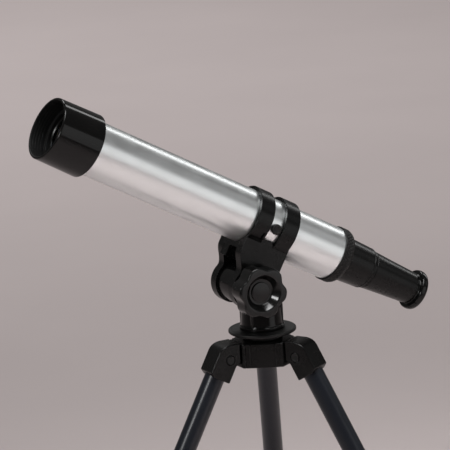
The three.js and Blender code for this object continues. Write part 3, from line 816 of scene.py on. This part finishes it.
def buildKnob():
    choice = knobChoice
    near, far = reach("tilt_knob", -sideways, tiltPivot)
    radius = max(reach("tilt_knob", forward, tiltPivot)[1], choice["radius"])
    back = near + choice["hubLength"]
    floor = far - choice["dishDepth"]
    bolt = boltChoice["shank"] + clear

    def lobed(r, z, angle):
        if z < back - 0.01 or r < choice["dish"] + 0.2:
            return r
        share = min(1.0, (r - choice["dish"]) / (radius - choice["dish"]))
        wave = (1 - math.cos(choice["lobes"] * angle)) / 2
        return r - choice["valley"] * share * wave ** choice["sharp"]

    outline = [
        (0, near + choice["boltDepth"]), (bolt, near + choice["boltDepth"]), (bolt, near, 0.2),
        (choice["hub"], near, 0.4), (choice["hub"], back, 0.6),
        (choice["hub"] + 1.4, back, 0.1), (choice["dish"] + 0.3, back, 0.1),
        (radius, back, choice["rim"]), (radius, back + choice["rim"] + choice["step"]),
        (radius, (back + far) / 2), (radius, far - choice["rim"] - 0.6),
        (radius - 0.15, far, choice["rim"] + 0.6),
        (choice["dish"] + 0.8, far, 0.3), (choice["dish"], far - 0.3, 0.5),
        (choice["floor"], floor, 0.7), (0, floor),
    ]
    face = placement(tiltPivot, Vector((1, 0, 0)), -sideways)
    face = face @ Matrix.Rotation(math.radians(-choice["turn"]), 4, "Z")
    lathed("tiltKnob", outline, face, 288, "knob", "knobBlack", "tilt_knob", swell=lobed)
    low, high = reach("knob_cap", -sideways, tiltPivot)
    capRadius = reach("knob_cap", Vector((0, 0, 1)), tiltPivot)[1]
    outline = [(0, low), (capRadius, low, 0.2), (capRadius, high - 0.4, 0.6), (0, high)]
    lathed("knobCap", outline, face, 128, "knob", "knobBlack", "knob_cap")


# Pan head

yokeChoice = {"foot": 2.6, "footRadius": 15.8, "radius": 14.8, "column": 16.5, "taper": 0.7, "knuckle": 13.4,
              "tongue": 18.4, "edge": 0.7}


def buildYoke():
    choice = yokeChoice
    bottom = heights("yoke")[0]
    shoulder = choice["radius"] - choice["taper"]
    outline = [
        (0, bottom), (choice["footRadius"], bottom, 0.3), (choice["footRadius"], choice["foot"], 0.7),
        (choice["radius"] + 0.3, choice["foot"] + 0.3, 0.4), (choice["radius"], choice["foot"] + 1.2, 0.4),
        (shoulder, choice["column"], 1.8), (0, choice["column"]),
    ]
    lathed("yokeColumn", outline, panPlace, 160, "head", "glossBlack", "yoke")
    pivotX = (tiltPivot.x - panTop.x) / mm
    pivotZ = (tiltPivot.z - panTop.z) / mm
    rear = shoulder - 1.5
    knuckle = choice["knuckle"]
    side = [(-rear, choice["foot"]), (rear, choice["foot"]), (rear, choice["column"])]
    side += curvePoints((rear, choice["column"]), (rear - 1, pivotZ - 8), (knuckle + pivotX, pivotZ - 6),
                        (knuckle + pivotX, pivotZ))
    side += arcPoints((pivotX, pivotZ), knuckle, 0, 250, 40)[1:]
    lastX, lastZ = side[-1]
    side += curvePoints((lastX, lastZ), (lastX + 4, lastZ - 1.4), (-rear, choice["column"] + 1),
                        (-rear, choice["column"] - 3))
    standing = panPlace @ Matrix.Rotation(math.pi / 2, 4, "X")
    tongue = prism("yokeTongue", side, -choice["tongue"] / 2, choice["tongue"] / 2, standing)
    edged(tongue, choice["edge"])
    hole = rod("hole", boltChoice["shank"] + clear, -60, 60, placement(tiltPivot, forward, sideways), 64)
    carved(tongue, hole)
    finished(tongue, "head", "glossBlack")


discChoice = {"bore": 3.3, "underRim": 1.0, "rim": 1.6, "dish": 2.2, "dishDepth": 0.15}


def buildDisc():
    choice = discChoice
    bore = choice["bore"]
    low, high = heights("swivel_disc")
    radius = (discHigh.x - discLow.x) / 2 / mm
    top = high - choice["dishDepth"]
    outline = [(bore, low, 0.2), (radius - choice["underRim"], low, 0.4), (radius, low + 0.6, 0.5),
               (radius, high - 0.2, 0.9), (radius - choice["rim"], high, 0.4),
               (radius - choice["dish"], top, 0.2), (bore, top, 0.2)]
    lathed("swivelDisc", outline, panPlace, 192, "head", "mattBlack", "swivel_disc")
    low, high = heights("friction_washer")
    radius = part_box("friction_washer")[1].y / mm
    outline = sleeve(radius, bore, low, high, 0.4, 0.2)
    lathed("frictionWasher", outline, panPlace, 128, "tripod", "mattBlack", "friction_washer")


# Tripod

legNumbers = (1, 2, 3)


def legHinge(number):
    joint = joints[f"leg_fold_{number}"]
    return Vector(joint["pos_m"]), Vector(joint["axis"])


# From the leg's pin, x points out from the tripod's axis and z up
def legPlace(number):
    origin, tangent = legHinge(number)
    upward = Vector((0, 0, 1))
    return placement(origin, tangent.cross(upward), upward)


crownChoice = {"legFace": 21.4, "legFaceWidth": 17.0, "bulge": 1.0, "edge": 0.8, "lug": 8.4, "lugRadius": 5.5,
               "lugEdge": 0.5, "rib": 1.5, "ribOut": 0.9, "ribSteps": (1.5, 5.2), "ribEdge": 0.35,
               "ribInset": 0.4, "pocket": 8.0, "pocketDepth": 4.5}


def buildCrown():
    choice = crownChoice
    low, high = heights("crown")
    half = choice["legFaceWidth"] / 2
    axes = [legHinge(number)[1] for number in legNumbers]
    azimuths = [math.degrees(math.atan2(-axis.x, axis.y)) for axis in axes]
    outline = []
    wall = choice["legFace"] * 0.5 + half * math.sqrt(0.75)
    wallHalf = choice["legFace"] * math.sqrt(0.75) - half * 0.5
    for azimuth in azimuths:
        turn = math.radians(azimuth)
        toWall = turn + math.radians(60)
        outline += [(choice["legFace"] * math.cos(turn) - side * half * math.sin(turn),
                     choice["legFace"] * math.sin(turn) + side * half * math.cos(turn)) for side in (-1, 1)]
        for step in range(1, 12):
            share = step / 12
            out = wall + 4 * choice["bulge"] * share * (1 - share)
            across = -wallHalf + 2 * wallHalf * share
            outline.append((out * math.cos(toWall) - across * math.sin(toWall),
                            out * math.sin(toWall) + across * math.cos(toWall)))
    hub = prism("crownHub", outline, low, high, panPlace)
    edged(hub, choice["edge"])
    bore = rod("bore", discChoice["bore"], low - 5, high + 5, panPlace, 64)
    pocket = rod("pocket", choice["pocket"], low - 5, low + choice["pocketDepth"], panPlace, 96)
    carved(hub, bore, pocket)
    finished(hub, "tripod", "satinBlack", "crown")
    for azimuth in azimuths:
        place = panPlace @ Matrix.Rotation(math.radians(azimuth + 60), 4, "Z")
        for side, inset in [(side, inset) for side in (-1, 1) for inset in choice["ribSteps"]]:
            across = side * (wallHalf - inset)
            near = (wall - 1, across - choice["rib"] / 2, low + choice["ribInset"])
            far = (wall + choice["ribOut"] + 0.5, across + choice["rib"] / 2, high - choice["ribInset"])
            rib = boxPiece(f"crownRib{round(azimuth) % 360}_{round(across)}", near, far, place)
            edged(rib, choice["ribEdge"])
            finished(rib, "tripod", "satinBlack")
    for number in legNumbers:
        radius = choice["lugRadius"]
        pinOut = (legHinge(number)[0] - panTop).to_2d().length / mm
        root = choice["legFace"] - 4 - pinOut
        outline = [(root, radius)] + arcPoints((0, 0), radius, 90, -90, 24) + [(root, -radius)]
        outline = list(dict.fromkeys(outline))
        standing = legPlace(number) @ Matrix.Rotation(math.pi / 2, 4, "X")
        lug = prism(f"crownLug{number}", outline, -choice["lug"] / 2, choice["lug"] / 2, standing)
        edged(lug, choice["lugEdge"])
        finished(lug, "tripod", "satinBlack")


capChoice = {"width": 17.0, "wall": 2.4, "outer": 10.3, "inner": 6.4, "below": 15.4, "chamfer": 3.6,
             "top": 10.8, "bearing": 8.0, "corner": 9.0, "socket": 7.4, "channel": 9.0, "edge": 0.8}
pinChoice = {"radius": 3.0, "groove": 2.1, "depth": 0.3}
splay = math.radians(29.0)


def legPoint(across, along):
    out = across * math.cos(splay) + along * math.sin(splay)
    return out, across * math.sin(splay) - along * math.cos(splay)


def bendPoints(start, control, end, steps=12):
    first = tuple(a + (b - a) * 2 / 3 for a, b in zip(start, control))
    second = tuple(a + (b - a) * 2 / 3 for a, b in zip(end, control))
    return curvePoints(start, first, second, end, steps)


def buildLegCap(number):
    choice = capChoice
    outer = choice["outer"]
    inner = choice["inner"]
    top = choice["top"]
    below = choice["below"]
    bend = legPoint(outer, -1)
    chamfer = choice["chamfer"]
    outline = [(-choice["bearing"], top), (-choice["bearing"], -3), legPoint(-inner, 2.5),
               legPoint(-inner, below), legPoint(outer - chamfer, below),
               legPoint(outer, below - chamfer * 0.6), bend]
    outline += bendPoints(bend, (bend[0] - 2.6, top - 0.4), (bend[0] - choice["corner"], top))
    standing = legPlace(number) @ Matrix.Rotation(math.pi / 2, 4, "X")
    cap = prism(f"legCap{number}", outline, -choice["width"] / 2, choice["width"] / 2, standing)
    edged(cap, choice["edge"])
    outer -= choice["wall"]
    top -= choice["wall"]
    bend = legPoint(outer, -1)
    depth = choice["socket"] - 0.6
    channel = [(-choice["bearing"] - 4, top), (-choice["bearing"] - 4, -9), legPoint(-inner - 4, depth),
               legPoint(outer, depth), bend]
    channel += bendPoints(bend, (bend[0] - 2, top - 0.4), (bend[0] - choice["corner"], top))
    slot = prism("channel", channel, -choice["channel"] / 2, choice["channel"] / 2, standing)
    socket = rod("socket", legRadius() + clear, -below - 5, -choice["socket"], legAxis(number), 96)
    pinHole = rod("pinHole", pinChoice["radius"] + 2 * clear, -20, 20, standing, 64)
    carved(cap, slot, socket, pinHole)
    finished(cap, f"leg_{number}", "satinBlack", f"leg_cap_{number}")


# The leg's own line: z runs up it, from the height of the pin
def legAxis(number):
    centre = (capChoice["outer"] - capChoice["inner"]) / 2
    return legPlace(number) @ Matrix.Rotation(-splay, 4, "Y") @ Matrix.Translation((centre * mm, 0, 0))


def legRadius():
    origin, tangent = legHinge(1)
    low, high = reach("leg_tube_1", tangent, origin)
    return (high - low) / 2


def alongLeg(number, node):
    place = legAxis(number)
    return reach(node, place.to_3x3().col[2], place.translation)


def buildPin(number):
    choice = pinChoice
    origin, tangent = legHinge(number)
    low, high = reach(f"leg_pin_{number}", tangent, origin)
    place = placement(origin, Vector((0, 0, 1)), tangent)
    radius = choice["radius"]
    groove = choice["groove"]
    depth = choice["depth"]
    edge = groove + depth
    outline = [(0, low + depth), (groove, low + depth, 0.1), (edge, low, 0.2), (radius, low, 0.3),
               (radius, high, 0.3), (edge, high, 0.2), (groove, high - depth, 0.1), (0, high - depth)]
    lathed(f"legPin{number}", outline, place, 72, f"leg_{number}", "mattBlack", f"leg_pin_{number}")


legTubeWall = 1.1


def buildLegTube(number):
    low, high = alongLeg(number, f"leg_tube_{number}")
    radius = legRadius()
    outline = sleeve(radius, radius - legTubeWall, low, high, 0.4, 0.2)
    lathed(f"legTube{number}", outline, legAxis(number), 128, f"leg_{number}", "enamel", f"leg_tube_{number}")


footChoice = {"radius": 8.8, "grip": 14.0, "bottom": 3.0, "ridges": 4, "ridge": 0.45, "ridgeStart": 2.0,
              "ballSteps": 12}


def buildFoot(number):
    choice = footChoice
    tubeEnd = alongLeg(number, f"leg_tube_{number}")[0]
    centre = tubeEnd + choice["bottom"]
    radius = choice["radius"]
    grip = legRadius() + clear
    top = centre + choice["grip"]
    outline = [(grip, top, 0.4), (radius - 0.5, top, 0.6)]
    pitch = (choice["grip"] - 2 * choice["ridgeStart"]) / choice["ridges"]
    for ridge in range(choice["ridges"]):
        high = top - choice["ridgeStart"] - ridge * pitch
        outline += [(radius, high, 0.4), (radius - choice["ridge"], high - pitch * 0.35, 0.4),
                    (radius - choice["ridge"], high - pitch * 0.6, 0.4)]
    outline += [(radius, centre, 0.3)]
    outline += arcPoints((0, centre), radius, 0, -90, choice["ballSteps"])[1:-1]
    outline += [(0, centre - radius), (0, tubeEnd - clear), (grip, tubeEnd - clear)]
    foot = turned(f"legFoot{number}", outline, legAxis(number), 96)
    below = (legAxis(number) @ Vector((0, 0, centre * mm))).to_2d().to_3d()
    carved(foot, boxPiece("floor", (-60, -60, -40), (60, 60, 0), Matrix.Translation(below)))
    finished(foot, f"leg_{number}", "rubber", f"leg_foot_{number}")


panScrewChoice = {"shank": 3.0, "seat": 4.2, "slotWidth": 1.4, "slotDepth": 1.2}


def buildPanScrew():
    choice = panScrewChoice
    low, high = heights("pan_screw")
    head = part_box("pan_screw")[1].y / mm
    seat = heights("crown")[0] + choice["seat"]
    shank = choice["shank"]
    outline = [(0, low), (head - 0.4, low, 0.8), (head, low + 1.0, 0.8), (head, seat, 0.3),
               (shank, seat, 0.1), (shank, high, 0.5), (0, high)]
    screw = turned("panScrew", outline, panPlace, 96)
    half = choice["slotWidth"] / 2
    bottom = low + choice["slotDepth"]
    carved(screw, boxPiece("slot", (-head - 1, -half, low - 1), (head + 1, half, bottom), panPlace))
    finished(screw, "tripod", "steel", "pan_screw")


buildMainTube()
buildHood()
buildLenses()
buildLensRing()
buildCollar()
buildBarrels()
buildFlange()
buildInnerRings()
buildSaddle()
buildStopButton()
buildBolt()
buildKnob()
print("stage: optical tube built")
buildYoke()
buildDisc()
print("stage: head built")
buildCrown()
buildPanScrew()
for number in legNumbers:
    buildLegCap(number)
    buildPin(number)
    buildLegTube(number)
    buildFoot(number)
print("stage: tripod built")


# Camera: low and a little to the objective's side, with a long lens

cameraChoice = {"azimuth": -26.26, "elevation": 12.97, "roll": -3.39, "distance": 2.1475, "aimRight": -0.0217,
                "aimUp": 0.0747, "lens": 247.75}


def cameraAxes():
    azimuth = math.radians(cameraChoice["azimuth"])
    elevation = math.radians(cameraChoice["elevation"])
    back = Vector((math.sin(azimuth) * math.cos(elevation), -math.cos(azimuth) * math.cos(elevation),
                   math.sin(elevation)))
    right = Vector((math.cos(azimuth), math.sin(azimuth), 0))
    return right, back.cross(right), back


def placeCamera():
    right, up, back = cameraAxes()
    aim = panTop + right * cameraChoice["aimRight"] + Vector((0, 0, cameraChoice["aimUp"]))
    roll = math.radians(cameraChoice["roll"])
    x = right * math.cos(roll) + up * math.sin(roll)
    y = up * math.cos(roll) - right * math.sin(roll)
    camera = bpy.data.objects.new("camera", bpy.data.cameras.new("camera"))
    camera.data.lens = cameraChoice["lens"]
    camera.data.clip_end = 50
    camera.matrix_world = Matrix.Translation(aim + back * cameraChoice["distance"]) @ \
        Matrix((x, y, back)).transposed().to_4x4()
    bpy.context.scene.collection.objects.link(camera)
    bpy.context.scene.camera = camera


# Studio

floorChoice = {"colour": (0.535, 0.469, 0.463, 1), "shade": (0.515, 0.451, 0.446, 1), "radius": 9000.0}
lampChoice = {
    "tableSoftbox": {"where": (0.0, -0.36, 1.2), "aim": (0.0, -0.38, 0.0), "size": (0.6, 0.6), "power": 4.0,
                     "spread": 80},
    "keyLamp": {"where": (-1.35, -0.48, 1.0), "aim": (0.0, 0.0, 0.29), "size": (0.34, 0.34), "power": 3.6,
                "spread": 110},
    "sidePanel": {"where": (0.56, -0.95, 0.33), "aim": (0.0, 0.0, 0.34), "size": (0.72, 0.9), "power": 1.9,
                  "spread": 180},
    "rearPanel": {"where": (0.86, -0.36, 0.62), "aim": (0.04, 0.0, 0.3), "size": (0.34, 0.34), "power": 0.16,
                  "spread": 180},
    "backdropBank": {"where": (0.45, 2.7, 3.4), "aim": (0.65, 2.5, 0.0), "size": (1.6, 1.6), "power": 49.0,
                     "spread": 130},
    "backStrip": {"where": (1.95, 0.88, 1.34), "aim": (0.0, 0.0, 0.29), "size": (0.36, 1.3), "power": 5.6,
                  "spread": 180},
}
skyChoice = {"colour": (0.62, 0.60, 0.59, 1), "strength": 0.22}


def buildFloor():
    floor = turned("floor", [(0, -2.0), (floorChoice["radius"], -2.0), (floorChoice["radius"], 0), (0, 0)],
                   Matrix.Identity(4), 96)
    look, tree = startLook("paperFloor", roughness=0.7, ior=1.4)
    cloud = ranged(tree, grain(tree, 300.0, detail=3.0), 0, 1)
    colour = tinted(tree, cloud, floorChoice["colour"], floorChoice["shade"])
    tooth = raisedBy(tree, grain(tree, 0.6, detail=3.0), 0.02, 0.2)
    floor.data.materials.append(shaded(look, colour, None, tooth))


def placeLamps():
    for name, choice in lampChoice.items():
        data = bpy.data.lights.new(name, "AREA")
        data.shape = "RECTANGLE"
        data.size, data.size_y = choice["size"]
        data.energy = choice["power"]
        data.spread = math.radians(choice["spread"])
        lamp = bpy.data.objects.new(name, data)
        where = Vector(choice["where"])
        outward = (where - Vector(choice["aim"])).normalized()
        length = forward - outward * forward.dot(outward)     # its long side lies along the optical tube
        if length.length < 0.5:                               # the lamp is almost in line with the tube
            length = Vector((0, 1, 0))
        lamp.matrix_world = placement(where, length.cross(outward), outward)
        bpy.context.scene.collection.objects.link(lamp)


def lightSky():
    world = bpy.data.worlds.new("studio")
    world.use_nodes = True
    sky = world.node_tree.nodes["Background"]
    sky.inputs["Color"].default_value = skyChoice["colour"]
    sky.inputs["Strength"].default_value = skyChoice["strength"]
    bpy.context.scene.world = world


placeCamera()
buildFloor()
placeLamps()
lightSky()
bpy.context.scene.view_settings.view_transform = "Standard"
print("stage: camera and studio placed")

bpy.context.view_layer.update()
